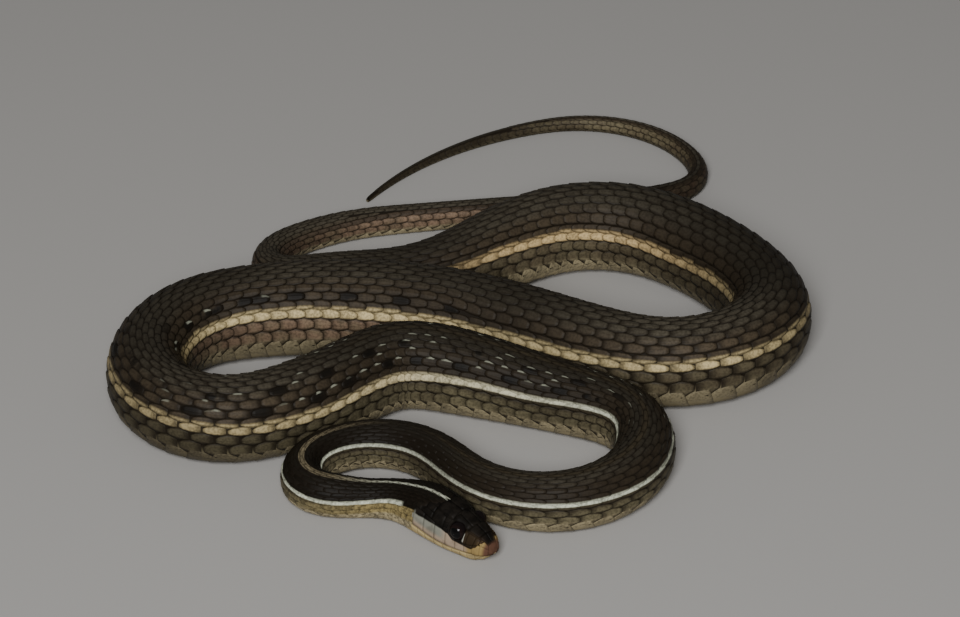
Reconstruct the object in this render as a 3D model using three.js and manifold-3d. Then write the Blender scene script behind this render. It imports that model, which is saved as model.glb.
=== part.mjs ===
// A garter snake of the slender ribbon kind, life size, lying on flat ground in the
// loose bends of the photograph. Millimetres, +Z up, the ground at z = 0.
// The body is one tube that follows a path of gentle bends from the snout to the tip
// of the tail. Thin cuts part it into the head, lower jaw, neck, trunk and tail.

import * as THREE from "three";
import { mergeVertices } from "three/addons/utils/BufferGeometryUtils.js";
import Module from "manifold-3d";

// Driving dimensions

const START = [5.53, -73.92]; // where the tip of the snout lies
const HEADING = 134.6; // degrees from +X, from the snout back along the head

// The path, as stretches of [length, turn to the left in degrees].
const BENDS = [
  [15, 0], [13, 53.5], // head and nape
  [8, -16.8], [7, -111.1], [32, -123.6], // neck, and the loop that lies beside the head
  [10, 28.6], [36, 119.5], [13, 73.8], // slim front of the trunk and its tight bend
  [6, -0.4], [30, 6], [7, 60], [23, -14.5], [19, -72.5], // back along the near side
  [35, -123.4], [61, -40.5], [16, 3.8], [29, 82.2], // wide bend, then across the middle
  [13, 57.6], [26, 27.6], [28, 69.1], [14, 2.3], // wide bend, then along the far side
  [17, -46.3], [16, 6.4], [15, -129.9], // vent and the bend of the tail's root
  [23, -35.3], [42, -3.4], [18, 17.2], [11, 77.6], [40, 94.6], [47, 43.6], // tail
];
const SOFTEN = 8; // one stretch flows into the next over this length to each side
const LENGTH = BENDS.reduce((sum, [length]) => sum + length, 0);

// Width of the body, as [distance from the snout, width].
const WIDTH = [
  [0, 4.6], [3, 5.7], [7, 7.5], [10, 8.7], [13, 9.3], [16, 9.4], [19, 8.5], [22, 7.1], // head
  [26, 6.4], [34, 7.3], [60, 8.2], [85, 9.3], [118, 10.8], // neck and slim front
  [142, 12.2], [166, 14.8], [218, 14.6], [280, 16.7], [332, 15.3], [384, 15.8], [412, 15.9], // trunk
  [434, 14.9], [456, 11.2], [470, 9.1], // towards the vent
  [484, 6.5], [516, 5.4], [550, 4.9], [585, 3.9], [625, 2.7], [670, 1], // tail
];

// Height of the top of the head and of the mouth line, as [distance from the snout, height].
const HEAD_TOP = [[0, 4.9], [3, 5.9], [7, 7.3], [10, 7.8], [13, 7.9], [16, 7.8], [19, 7.4], [22, 7.1], [26, 6.78]];
const MOUTH = [[0, 2.3], [4, 2], [8, 1.9], [12, 2.4], [16, 3.2], [22, 3.1]];
const HEAD_END = 21; // the head and lower jaw meet the neck here
const NOSE = 2.4; // length over which the blunt snout rounds off
const JAW_BACK = 0.8; // the lower jaw starts this far behind the snout's tip
const CHIN = 3.2; // length over which the chin rounds up
const TIP = 1.5; // length over which the tail's tip rounds off

// Cross-section: a low, rounded loaf that is a little taller than wide.
const TALL = 1.06; // height over width
const WAIST = 0.44; // height of the widest place over the whole height
const BACK_POWER = 1.95; // 2 is an ellipse, more is squarer
const HEAD_POWER = 2.5;
const BELLY_POWER = 2.7;

const EYE = { along: 6.4, aside: 2.2, up: 4.95, radius: 1.6 };
const SOCKET_GAP = 0.15; // between an eye and its socket
const CUT = 0.3; // width of every cut between two pieces
const SHORT = 0.02; // the last ring stands this far short of the tail's tip, or it would have no size

// Where each length of the body ends, from the head back.
const LENGTHS = {
  neck: 62, trunk_1: 104, trunk_2: 150, trunk_3: 205, trunk_4: 258, trunk_5: 335,
  trunk_6: 396, trunk_7: 466, tail_1: 512, tail_2: 566, tail_3: 604, tail_4: LENGTH - SHORT,
};

// Fineness of the faceted surface
const LONGEST = 6; // most distance between two rings
const TURN = 18; // most turn between two rings, in degrees
const AROUND = { neck: 18, trunk: 20, tail: 14 };

// The path

// Value of a table of [place, value] rows at a place, on a smooth curve through them.
function smooth(table, at) {
  const last = table.length - 1;
  if (at <= table[0][0]) return table[0][1];
  if (at >= table[last][0]) return table[last][1];
  const i = table.findLastIndex(([place]) => place <= at);
  const slope = (a, b) => (table[b][1] - table[a][1]) / (table[b][0] - table[a][0]);
  const [x0, y0] = table[i];
  const [x1, y1] = table[i + 1];
  const t = (at - x0) / (x1 - x0);
  const m0 = slope(Math.max(i - 1, 0), i + 1) * (x1 - x0);
  const m1 = slope(i, Math.min(i + 2, last)) * (x1 - x0);
  return (2 * t ** 3 - 3 * t ** 2 + 1) * y0 + (t ** 3 - 2 * t ** 2 + t) * m0
    + (3 * t ** 2 - 2 * t ** 3) * y1 + (t ** 3 - t ** 2) * m1;
}

// Heading in degrees, before softening: each stretch turns evenly along its length.
function rawHeading(at) {
  let heading = HEADING;
  for (const [length, turn] of BENDS) {
    heading += turn * Math.min(Math.max(at / length, 0), 1);
    at -= length;
  }
  return heading;
}

// Heading in radians, the average of the raw one, weighted towards the middle.
function headingAt(at) {
  let sum = 0;
  let weights = 0;
  for (let k = -SOFTEN; k <= SOFTEN; k++) {
    const weight = SOFTEN + 1 - Math.abs(k);
    sum += weight * rawHeading(at + k);
    weights += weight;
  }
  return THREE.MathUtils.degToRad(sum / weights);
}

// The path is walked in steps of 1 mm.
const steps = [new THREE.Vector2(...START)];
for (let at = 0.5; at < LENGTH; at++) {
  const angle = headingAt(at);
  steps.push(steps.at(-1).clone().add(new THREE.Vector2(Math.cos(angle), Math.sin(angle))));
}

// A place on the body: at along it, aside to the left of the path, and up.
function place(at, aside, up) {
  const i = Math.min(Math.floor(at), steps.length - 2);
  const angle = headingAt(at);
  const on = steps[i].clone().lerp(steps[i + 1], at - i);
  return new THREE.Vector3(on.x - aside * Math.sin(angle), on.y + aside * Math.cos(angle), up);
}

// The cross-section

// Grows from 0 at the start to 1 over a length, as a quarter of an ellipse.
function blunt(distance, over) {
  const rest = 1 - Math.min(Math.max(distance / over, 0), 1);
  return Math.sqrt(1 - rest * rest);
}

const topAt = (at) => (at < 26 ? smooth(HEAD_TOP, at) : TALL * smooth(WIDTH, at));
const waistAt = (at) => (at < 22 ? smooth(MOUTH, at) : WAIST * topAt(at));

// One point of the cross-section: angle 0 is the left side, 90 degrees the middle of the back.
// The last ring of facets under the belly is flat on the ground.
function sectionPoint(at, angle, flat) {
  const nose = blunt(at, NOSE);
  const chin = blunt(at - JAW_BACK, CHIN);
  const tip = blunt(LENGTH - at, TIP);
  const above = Math.sin(angle) >= 0;
  const headShare = THREE.MathUtils.smoothstep(30 - at, 0, 16);
  const power = above ? THREE.MathUtils.lerp(BACK_POWER, HEAD_POWER, headShare) : BELLY_POWER;
  const curve = (value) => Math.sign(value) * Math.abs(value) ** (2 / power);
  const waist = waistAt(at);
  const aside = (smooth(WIDTH, at) / 2) * curve(Math.cos(angle)) * (above ? nose : chin) * tip;
  const rise = above ? (topAt(at) - waist) * nose * tip : waist * chin;
  const up = waist + rise * curve(Math.sin(angle));
  return [aside, flat && chin === 1 ? 0 : up];
}

// Places of the rings between two ends, closer together where the path turns.
function stations(from, to) {
  const effort = [0];
  const fine = 0.5;
  for (let at = from; at < to - 1e-9; at += fine) {
    const turn = THREE.MathUtils.radToDeg(Math.abs(headingAt(at + fine) - headingAt(at)));
    effort.push(effort.at(-1) + fine / LONGEST + turn / TURN);
  }
  const count = Math.ceil(effort.at(-1));
  const found = [];
  for (let n = 0; n <= count; n++) {
    const goal = (effort.at(-1) * n) / count;
    const i = Math.min(effort.findLastIndex((value) => value <= goal), effort.length - 2);
    const part = (goal - effort[i]) / (effort[i + 1] - effort[i]);
    found.push(Math.min(from + (i + part) * fine, to));
  }
  return found;
}

// Closed surfaces

// A surface through rings of points, closed at both ends by a fan to the ring's middle.
function loft(rings) {
  const points = [];
  const faces = [];
  for (const ring of rings) points.push(...ring);
  const around = rings[0].length;
  for (let r = 0; r + 1 < rings.length; r++) {
    for (let k = 0; k < around; k++) {
      const a = r * around + k;
      const b = r * around + ((k + 1) % around);
      faces.push(a, b, a + around, b, b + around, a + around);
    }
  }
  const middle = (ring) => ring.reduce((sum, p) => sum.add(p), new THREE.Vector3()).divideScalar(around);
  const first = points.push(middle(rings[0])) - 1;
  const last = points.push(middle(rings.at(-1))) - 1;
  const end = (rings.length - 1) * around;
  for (let k = 0; k < around; k++) {
    const next = (k + 1) % around;
    faces.push(first, next, k, last, end + k, end + next);
  }
  const geometry = new THREE.BufferGeometry().setFromPoints(points);
  geometry.setIndex(faces);
  return geometry;
}

// The rings of the head or jaw: the half of the cross-section above or below the mouth line.
function halfRings(places, below, sides) {
  return places.map((at) => {
    const ring = [];
    for (let k = 0; k <= sides; k++) {
      const angle = Math.PI * (k / sides + (below ? 1 : 0));
      const [aside, up] = sectionPoint(at, angle, below && Math.abs(k - sides / 2) <= 1);
      const gap = CUT / 2;
      ring.push(place(at, aside, below ? Math.min(up, waistAt(at) - gap) : Math.max(up, waistAt(at) + gap)));
    }
    return ring;
  });
}

// The rings of a length of the body.
function wholeRings(from, to, around) {
  return stations(from, to).map((at) => {
    const ring = [];
    for (let k = 0; k < around; k++) {
      const flat = k <= 1 || k === around - 1;
      const [aside, up] = sectionPoint(at, -Math.PI / 2 + (2 * Math.PI * k) / around, flat);
      ring.push(place(at, aside, up));
    }
    return ring;
  });
}

// Solids to cut with

const wasm = await Module();
wasm.setup();

function solidOf(geometry) {
  const vertProperties = new Float32Array(geometry.getAttribute("position").array);
  const triVerts = new Uint32Array(geometry.index.array);
  return new wasm.Manifold(new wasm.Mesh({ numProp: 3, vertProperties, triVerts }));
}

function geometryOf(solid) {
  const { numProp, vertProperties, triVerts } = solid.getMesh();
  const points = [];
  for (let i = 0; i < vertProperties.length; i += numProp) {
    points.push(new THREE.Vector3().fromArray(vertProperties, i));
  }
  const geometry = new THREE.BufferGeometry().setFromPoints(points);
  geometry.setIndex([...triVerts]);
  return geometry;
}

// The pieces

const skin = (color) => new THREE.MeshStandardMaterial({ color, roughness: 0.5, metalness: 0 });
const blackish = skin(0x23221e);
const brown = skin(0x3d352c);
const cream = skin(0xb9a88a);
const eyeball = new THREE.MeshStandardMaterial({ color: 0x1c1210, roughness: 0.15, metalness: 0 });

const snake = new THREE.Group();
snake.name = "garter_snake";

function add(name, geometry, material) {
  geometry.computeVertexNormals();
  const mesh = new THREE.Mesh(geometry, material);
  mesh.name = name;
  snake.add(mesh);
}

// A ball with a round side of the eye's fineness, at an eye's place on the given side.
function eyeBall(radius, side) {
  const ball = new THREE.SphereGeometry(radius, 16, 10);
  ball.deleteAttribute("normal");
  ball.deleteAttribute("uv");
  ball.translate(...place(EYE.along, side * EYE.aside, EYE.up));
  return mergeVertices(ball);
}

// Head: the skull with the upper lip, and a socket for each eye.
const snoutRings = [0.05, 0.4, 1.1, 2.4, 4, 5.5, 7, 8.5, 10, 12, 14, 16, 18, HEAD_END];
let head = solidOf(loft(halfRings(snoutRings, false, 14)));
for (const side of [-1, 1]) head = head.subtract(solidOf(eyeBall(EYE.radius + SOCKET_GAP, side)));
add("head", geometryOf(head), blackish);

// Lower jaw and throat, under the mouth line.
const jawRings = [0.85, 1.2, 1.9, 2.9, 4, 6, 8.5, 11, 13.5, 16, 18.5, HEAD_END];
add("lower_jaw", loft(halfRings(jawRings, true, 12)), cream);

// Eyes: plain balls, the left one on the snake's own left.
for (const [name, side] of [["eye_left", -1], ["eye_right", 1]]) {
  add(name, eyeBall(EYE.radius, side), eyeball);
}

// Neck, trunk and tail, each a length of the same tube.
let from = HEAD_END + CUT;
for (const [name, to] of Object.entries(LENGTHS)) {
  const kind = name.split("_")[0];
  add(name, loft(wholeRings(from, to, AROUND[kind])), kind === "neck" ? blackish : brown);
  from = to + CUT;
}

export default snake;
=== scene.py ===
# A garter snake of the slender ribbon kind, life size, lying in loose bends on a pale floor.
# After the camera the sections follow the animal from its skin outwards: skin, back and side
# scales, belly scutes, head shields, eyes. Floor and light come last. Lengths are millimetres
# until a mesh is made.

import bpy
import numpy as np
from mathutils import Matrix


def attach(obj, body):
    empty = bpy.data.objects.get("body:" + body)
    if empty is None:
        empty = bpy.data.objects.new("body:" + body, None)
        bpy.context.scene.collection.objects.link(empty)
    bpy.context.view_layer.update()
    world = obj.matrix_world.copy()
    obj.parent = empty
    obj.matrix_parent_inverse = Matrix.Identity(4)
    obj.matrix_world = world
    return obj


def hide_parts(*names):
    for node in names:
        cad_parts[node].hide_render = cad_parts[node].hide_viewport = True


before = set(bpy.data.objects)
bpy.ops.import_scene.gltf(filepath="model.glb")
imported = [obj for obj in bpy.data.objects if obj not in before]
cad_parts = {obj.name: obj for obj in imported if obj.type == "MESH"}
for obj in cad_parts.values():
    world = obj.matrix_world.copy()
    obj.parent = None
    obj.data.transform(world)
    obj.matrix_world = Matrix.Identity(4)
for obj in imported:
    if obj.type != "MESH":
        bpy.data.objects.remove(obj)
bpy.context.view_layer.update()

# The camera: it has the view of the photograph, through a long lens, 33 degrees above the
# ground, that looks at the middle of the coil from a little over half a metre away.
TARGET = np.array([3.03, 5.43, 0.0])
ELEVATION = 33.0
DISTANCE = 620.0
SPAN = 0.189 * 960  # width of what is seen at the target: millimetres per pixel times pixels
SENSOR = 36.0
MM = 0.001

lift = np.radians(ELEVATION)
eye_point = TARGET + DISTANCE * np.array([0, -np.cos(lift), np.sin(lift)])
camera = bpy.data.objects.new("camera", bpy.data.cameras.new("camera"))
camera.data.sensor_width = SENSOR
camera.data.lens = SENSOR * DISTANCE / SPAN
camera.data.clip_start, camera.data.clip_end = 0.05, 20
camera.location = eye_point * MM
camera.rotation_euler = (np.radians(90 - ELEVATION), 0, 0)
bpy.context.scene.collection.objects.link(camera)
bpy.context.scene.camera = camera

# The skin: one closed tube of soft dark hide from the snout to the tip of the tail. It lies
# under the scales by their thickness, and shows between them where the body is stretched.
# It has a groove for the mouth and a hollow round each eye.
START = (5.53, -73.92)  # tip of the snout
HEADING = 134.6  # degrees from +X, from the snout back along the head
BENDS = [  # stretches of the body: length and degrees turned to the left, fitted to the outline
    (15, 0), (13, 53.5),
    (8, -16.8), (7, -111.1), (32, -123.6),
    (10, 28.6), (36, 119.5), (13, 73.8),
    (6, -0.4), (30, 6), (7, 60), (23, -14.5), (19, -72.5),
    (35, -123.4), (61, -40.5), (16, 3.8), (29, 82.2),
    (13, 57.6), (26, 27.6), (28, 69.1), (14, 2.3),
    (17, -46.3), (16, 6.4), (15, -129.9),
    (23, -35.3), (42, -3.4), (18, 17.2), (11, 77.6), (40, 94.6), (47, 43.6),
]
SOFTEN = 8  # one stretch flows into the next over this length to each side
WIDTH = [  # distance from the snout and width, fitted to the outline
    (0, 4.6), (3, 5.7), (7, 7.5), (10, 8.7), (13, 9.3), (16, 9.4), (19, 8.5), (22, 7.1),
    (26, 6.4), (34, 7.3), (60, 8.2), (85, 9.3), (118, 10.8),
    (142, 12.2), (166, 14.8), (218, 14.6), (280, 16.7), (332, 15.3), (384, 15.8), (412, 15.9),
    (434, 14.9), (456, 11.2), (470, 9.1),
    (484, 6.5), (516, 5.4), (550, 4.9), (585, 3.9), (625, 2.7), (670, 1),
]
HEAD_TOP = [(0, 4.9), (3, 5.9), (7, 7.3), (10, 7.8), (13, 7.9), (16, 7.8), (19, 7.4), (22, 7.1), (26, 6.78)]
MOUTH = [(0, 2.3), (4, 2), (8, 1.9), (12, 2.4), (16, 3.2), (22, 3.1)]
TOP_END, MOUTH_LINE_END = 26, 22  # HEAD_TOP and MOUTH, heights of top and mouth line, hold up to here
NOSE, CHIN, TIP = 2.4, 3.2, 1.5  # lengths over which snout, chin and tail round off
JAW_BACK = 0.8  # the chin starts this far behind the snout
TALL, WAIST = 1.06, 0.44  # height over width, and height of the widest place over the height
BACK_POWER, HEAD_POWER, BELLY_POWER = 1.95, 2.5, 2.7  # 2 is an ellipse, more is squarer
SQUARE_FULL, SQUARE_END = 14, 30  # the head's squarer back passes into the neck's here
LENGTH = sum(length for length, turn in BENDS)
COAT = [(0, 0.1), (12, 0.12), (22, 0.14), (60, 0.17), (150, 0.23), (200, 0.27), (400, 0.27),
        (470, 0.19), (540, 0.13), (620, 0.08), (670, 0.05)]  # thickness of the scales


def smooth(table, at):
    """A smooth curve through the table's rows: cubic between two rows, its slope at a row
    the slope between that row's neighbours."""
    x, y = np.array(table, float).T
    slope = np.concatenate([[(y[1] - y[0]) / (x[1] - x[0])], (y[2:] - y[:-2]) / (x[2:] - x[:-2]),
                            [(y[-1] - y[-2]) / (x[-1] - x[-2])]])
    at = np.clip(at, x[0], x[-1])
    i = np.clip(np.searchsorted(x, at, "right") - 1, 0, len(x) - 2)
    gap = x[i + 1] - x[i]
    t = (at - x[i]) / gap
    return ((2 * t**3 - 3 * t**2 + 1) * y[i] + (t**3 - 2 * t**2 + t) * gap * slope[i]
            + (3 * t**2 - 2 * t**3) * y[i + 1] + (t**3 - t**2) * gap * slope[i + 1])


def step(value, low, high):
    """0 up to low, 1 from high on, and a smooth rise between them. Low may be the larger."""
    t = np.clip((value - low) / (high - low), 0, 1)
    return t * t * (3 - 2 * t)


def heading(at):
    """Heading in radians: the bends' even turning, averaged with weights that fall off evenly."""
    ends = np.cumsum([0] + [length for length, turn in BENDS])
    turned = HEADING + np.cumsum([0] + [turn for length, turn in BENDS])
    k = np.arange(-SOFTEN, SOFTEN + 1)
    weight = SOFTEN + 1 - abs(k)
    return np.radians(np.interp(at[..., None] + k, ends, turned) @ weight / weight.sum())


def blunt(distance, over):
    """A quarter of an ellipse, from 0 at the start to 1 over a length."""
    rest = 1 - np.clip(distance / over, 0, 1)
    return np.sqrt(1 - rest * rest)


def section(at, angle):
    """Aside and up of the body's outline: two half superellipses that meet at the mouth line
    or waist. Angle -90 degrees is the belly, 0 the side and 90 the middle of the back."""
    top = np.where(at < TOP_END, smooth(HEAD_TOP, at), TALL * smooth(WIDTH, at))
    waist = np.where(at < MOUTH_LINE_END, smooth(MOUTH, at), WAIST * top)
    nose, chin, tip = blunt(at, NOSE), blunt(at - JAW_BACK, CHIN), blunt(LENGTH - at, TIP)
    above = np.sin(angle) >= 0
    squarer = step(at, SQUARE_END, SQUARE_FULL)
    power = np.where(above, BACK_POWER + (HEAD_POWER - BACK_POWER) * squarer, BELLY_POWER)
    aside = smooth(WIDTH, at) / 2 * np.cos(angle) ** (2 / power) * np.where(above, nose, chin) * tip
    rise = np.where(above, (top - waist) * nose * tip, waist * chin)
    return aside, waist + rise * np.sign(np.sin(angle)) * abs(np.sin(angle)) ** (2 / power)


# The outline is tabled once: rows are stations along the body, closest at the snout, columns
# are equal steps of the way round from the belly (0) to the back (1).
BELOW_QUARTER = 0.99999  # keeps angles inside a quarter turn, so that no cosine is negative
stations = np.concatenate([np.arange(0.02, 3, 0.05), np.arange(3, LENGTH - 0.02, 0.5), [LENGTH - 0.02]])
shares = np.linspace(0, 1, 97)
angles = np.linspace(-np.pi / 2, np.pi / 2, 385)
outline = np.stack(section(stations[:, None], angles[None, :] * BELOW_QUARTER))
arc = np.hypot(*np.diff(outline, axis=2))
arc = np.concatenate([np.zeros((len(stations), 1)), np.cumsum(arc, axis=1)], axis=1)
half_girth = arc[:, -1]
arc /= half_girth[:, None]
outline = np.stack([[np.interp(shares, way, part) for way, part in zip(arc, side)] for side in outline])
mouth_share = arc[:, len(angles) // 2]
across = np.gradient(outline, axis=2)
outward = np.stack([across[1], -across[0]]) / np.hypot(*across)
slope = (np.gradient(outline, stations, axis=1) * outward).sum(0)
table = np.concatenate([outline, outward, slope[None]])

walk = np.arange(0, LENGTH + 1.0)
walk_heading = heading(walk)
turns = heading(walk[:-1] + 0.5)
course = np.concatenate([[START], START + np.cumsum(np.stack([np.cos(turns), np.sin(turns)], 1), axis=0)])
bend = np.gradient(walk_heading)
FLOOR_GAP = 0.02  # nothing comes nearer to the floor


def on_body(at, turn, height=0.0):
    """Places on the solid's surface. at is the distance from the snout; turn is 0 on the
    back, 1 on the belly down the snake's right side and -1 down its left; height is above it.
    Four neighbours in the table are blended and carried along the course."""
    at = np.clip(at, stations[0], stations[-1])
    turn = (turn + 1) % 2 - 1
    side = np.where(turn < 0, -1.0, 1.0)
    row = np.interp(at, stations, np.arange(len(stations)))
    column = (1 - abs(turn)) * (len(shares) - 1)
    i = np.minimum(row.astype(int), len(stations) - 2)
    j = np.minimum(column.astype(int), len(shares) - 2)
    f, g = row - i, column - j
    aside, up, out_aside, out_up, rise = (
        table[:, i, j] * (1 - f) * (1 - g) + table[:, i + 1, j] * f * (1 - g)
        + table[:, i, j + 1] * (1 - f) * g + table[:, i + 1, j + 1] * f * g)
    way = np.interp(at, walk, walk_heading)
    ahead = np.stack([np.cos(way), np.sin(way), 0 * way], -1)
    left = np.stack([-np.sin(way), np.cos(way), 0 * way], -1)
    stretch = 1 - np.interp(at, walk, bend) * aside * side
    normal = (out_aside * side)[..., None] * left - (rise / stretch)[..., None] * ahead
    normal[..., 2] += out_up
    normal /= np.linalg.norm(normal, axis=-1, keepdims=True)
    place = (aside * side)[..., None] * left + np.asarray(height)[..., None] * normal
    place[..., 0] += np.interp(at, walk, course[:, 0])
    place[..., 1] += np.interp(at, walk, course[:, 1])
    place[..., 2] += up
    place[..., 2] = np.maximum(place[..., 2], FLOOR_GAP)
    return place


def stretch_at(at, turn):
    """How much longer the side of a bend is than the middle of the body: 1 less the bend times
    the half width, which falls to nothing at the back and the belly."""
    turn = (turn + 1) % 2 - 1
    half_width = smooth(WIDTH, at) / 2 * np.sign(turn) * np.sin(np.pi * abs(turn)) ** 0.6
    return 1 - np.interp(at, walk, bend) * half_width


# Rows of scales: row 0 is the belly's half, rows 1 to 9 go up the side, and row 10, halved
# here, runs along the middle of the back. Rows end one after another towards the tail.
ROWS = np.array([0.375, 0.1, 0.08, 0.065, 0.063, 0.065, 0.065, 0.06, 0.054, 0.049, 0.024])
ROW_END = np.array([800, 800, 632, 622, 482, 300, 472, 512, 506, 566, 800])
ROW_FADE = 7.0
BACK_ROW = 10
STRIPE_ROW = 4  # the stripe runs where this row begins
TAIL_ROWS = (430, 480)  # here the trunk's way of sharing out the rows passes into the tail's
# Share of the half girth below the stripe's row, by distance, from where the stripe is seen.
STRIPE_AT = [(0, 0.69), (21, 0.69), (27, 0.635), (33, 0.583), (39, 0.61), (46, 0.685), (51, 0.693),
             (60, 0.67), (74, 0.66), (88, 0.654), (95, 0.65), (103, 0.637), (114, 0.609), (120, 0.639),
             (126, 0.682), (137, 0.66), (147, 0.624), (158, 0.63), (172, 0.612), (184, 0.63),
             (194, 0.598), (205, 0.606), (215, 0.629), (228, 0.632), (238, 0.622), (248, 0.637),
             (258, 0.659), (268, 0.662), (280, 0.647), (300, 0.636), (321, 0.63), (334, 0.652),
             (345, 0.669), (360, 0.652), (370, 0.62), (380, 0.612), (393, 0.585), (402, 0.598),
             (416, 0.623), (430, 0.663), (440, 0.69), (455, 0.69), (480, 0.64), (670, 0.62)]
PITCH = [(10, 1.5), (22, 1.8), (30, 2.2), (45, 2.7), (60, 3), (100, 3.1), (225, 3.1), (250, 3.4), (380, 3.45),
         (450, 3.2), (470, 2.7), (500, 2.6), (560, 2.3), (620, 1.9), (670, 1.2)]  # from one scale to the next


def rows_left(at):
    """1 for each row where it is whole, falling to 0 where it ends; one more axis for the rows."""
    return 1 - step(np.asarray(at, float)[..., None], ROW_END - ROW_FADE, ROW_END + ROW_FADE)


def row_turn(at, row):
    """Turn at which a row coordinate lies: shares are added up from the belly. The belly's
    share shifts so that the stripe runs where it should. On the trunk rows 5 to 10 fill what
    is left, on the tail all rows grow alike. A row that has ended takes no room."""
    at, row = np.broadcast_arrays(np.asarray(at, float), np.asarray(row, float))
    size = ROWS * rows_left(at)
    size[..., 0] += smooth(STRIPE_AT, at) - ROWS[:STRIPE_ROW].sum()
    side_rows, back_rows = slice(1, STRIPE_ROW + 1), slice(STRIPE_ROW + 1, None)
    low = size[..., side_rows].sum(-1)
    high = size[..., back_rows].sum(-1)
    left = 1 - size[..., 0]
    even = left / (low + high)
    tail = step(at, *TAIL_ROWS)
    size[..., side_rows] *= (1 + (even - 1) * tail)[..., None]
    size[..., back_rows] *= ((left - low) / high * (1 - tail) + even * tail)[..., None]
    whole = np.clip(row.astype(int), 0, BACK_ROW)
    start = np.take_along_axis(np.cumsum(size, -1) - size, whole[..., None], -1)[..., 0]
    own = np.take_along_axis(size, whole[..., None], -1)[..., 0]
    return 1 - np.minimum(start + own * (row - whole) * np.where(whole == BACK_ROW, 2, 1), 1)


COUNT_FROM = 10  # scales are counted from here, a little before they begin
fine = np.linspace(COUNT_FROM, LENGTH, 2641)
counted = np.concatenate([[0], np.cumsum(np.diff(fine) / smooth(PITCH, fine[1:]))])


def number_at(at):
    """Number of the scale at a distance from the snout, one for each pitch passed."""
    return np.interp(at, fine, counted)


def at_number(number):
    """Distance from the snout of a scale's number."""
    return np.interp(number, counted, fine)


def mesh_of(name, points, faces, fields, bake_map=None, smooth_faces=True):
    """A mesh object from a grid of points in millimetres, arrays of faces with equal corners
    each, and named fields of up to three parts at the points. bake_map is the two parts of
    each point's place on the unwrap; smooth_faces says which faces are shaded round."""
    grid = points.shape[:-1]
    mesh = bpy.data.meshes.new(name)
    corners = np.concatenate([group.ravel() for group in faces])
    sizes = np.concatenate([np.full(len(group), group.shape[1]) for group in faces])
    mesh.vertices.add(points.size // 3)
    mesh.vertices.foreach_set("co", (points * MM).astype(np.float32).ravel())
    mesh.loops.add(len(corners))
    mesh.loops.foreach_set("vertex_index", corners.astype(np.int32))
    mesh.polygons.add(len(sizes))
    mesh.polygons.foreach_set("loop_start", (np.cumsum(sizes) - sizes).astype(np.int32))
    mesh.polygons.foreach_set("use_smooth", np.full(len(sizes), smooth_faces))
    for field_name, parts in fields.items():
        vectors = np.zeros((*grid, 3), np.float32)
        for k, part in enumerate(parts):
            vectors[..., k] = part
        mesh.attributes.new(field_name, "FLOAT_VECTOR", "POINT").data.foreach_set("vector", vectors.ravel())
    if bake_map:
        patch = np.zeros((*grid, 2), np.float32)
        patch[..., 0], patch[..., 1] = bake_map
        mesh.uv_layers.new(name="OFBake").data.foreach_set("uv", patch.reshape(-1, 2)[corners].ravel())
    mesh.update(calc_edges=True)
    mesh.validate()
    piece = bpy.data.objects.new(name, mesh)
    bpy.context.scene.collection.objects.link(piece)
    return piece


def grid_faces(rows, columns, around=False):
    """Four-cornered faces of a grid, facing along (row step) x (column step)."""
    index = np.arange(rows * columns).reshape(rows, columns)
    if around:
        index = np.concatenate([index, index[:, :1]], axis=1)
    a, b, c, d = index[:-1, :-1], index[1:, :-1], index[1:, 1:], index[:-1, 1:]
    return np.stack([a, b, c, d], -1).reshape(-1, 4)


def closed_tube(rows, columns):
    """Faces of rings joined one to the next, with a face over the first ring and the last."""
    ring = np.arange(columns)[None]
    return [grid_faces(rows, columns, around=True), ring[:, ::-1], ring + (rows - 1) * columns]


EYE_ALONG, EYE_ASIDE, EYE_UP, EYE_RADIUS = 6.4, 2.2, 4.95, 1.6
HOLLOW_DEEP = 0.5
HOLLOW = (1.5, 2.1)  # full depth up to the first distance from the eye's centre, none from the second
MOUTH_END = 16.5
MOUTH_DEEP = 0.45


def head_turn(at, down):
    """Turn on the head: down is 0 on top, 1 at the mouth line and 2 under the chin, with the
    sign of the side."""
    mouth = np.interp(at, stations, mouth_share)
    size = abs(down)
    turn = np.where(size < 1, size * (1 - mouth), 1 - mouth + (size - 1) * mouth)
    return turn * np.sign(down)


def eye_centre(side):
    """Centre of the eye on the right (1) or left (-1)."""
    way = np.interp(EYE_ALONG, walk, walk_heading)
    x, y = (np.interp(EYE_ALONG, walk, course[:, k]) for k in (0, 1))
    return np.array([x - side * EYE_ASIDE * np.sin(way), y + side * EYE_ASIDE * np.cos(way), EYE_UP])


HALF_RING = 22  # steps from the belly to the mouth line, and again to the back
rings = np.concatenate([np.arange(0.03, 3, 0.12), np.arange(3, 22, 0.24), np.arange(22, 60, 0.7),
                        np.arange(60, LENGTH - 6, 1.1), np.arange(LENGTH - 6, LENGTH - 0.03, 0.5)])
down = np.concatenate([np.linspace(0, 2, 2 * HALF_RING + 1), np.linspace(2, 0, 2 * HALF_RING + 1)[1:-1]])
down[2 * HALF_RING + 1:] *= -1
ring_at, ring_down = np.meshgrid(rings, down, indexing="ij")
ring_turn = head_turn(ring_at, ring_down)
on_mouth = np.isclose(abs(ring_down), 1) & (ring_at < MOUTH_END)
height = -smooth(COAT, ring_at) - np.where(on_mouth, MOUTH_DEEP, 0)
surface = on_body(ring_at, ring_turn)
for side in (-1, 1):
    away = np.linalg.norm(surface - eye_centre(side), axis=-1)
    height -= HOLLOW_DEEP * (1 - step(away, *HOLLOW))

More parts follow.
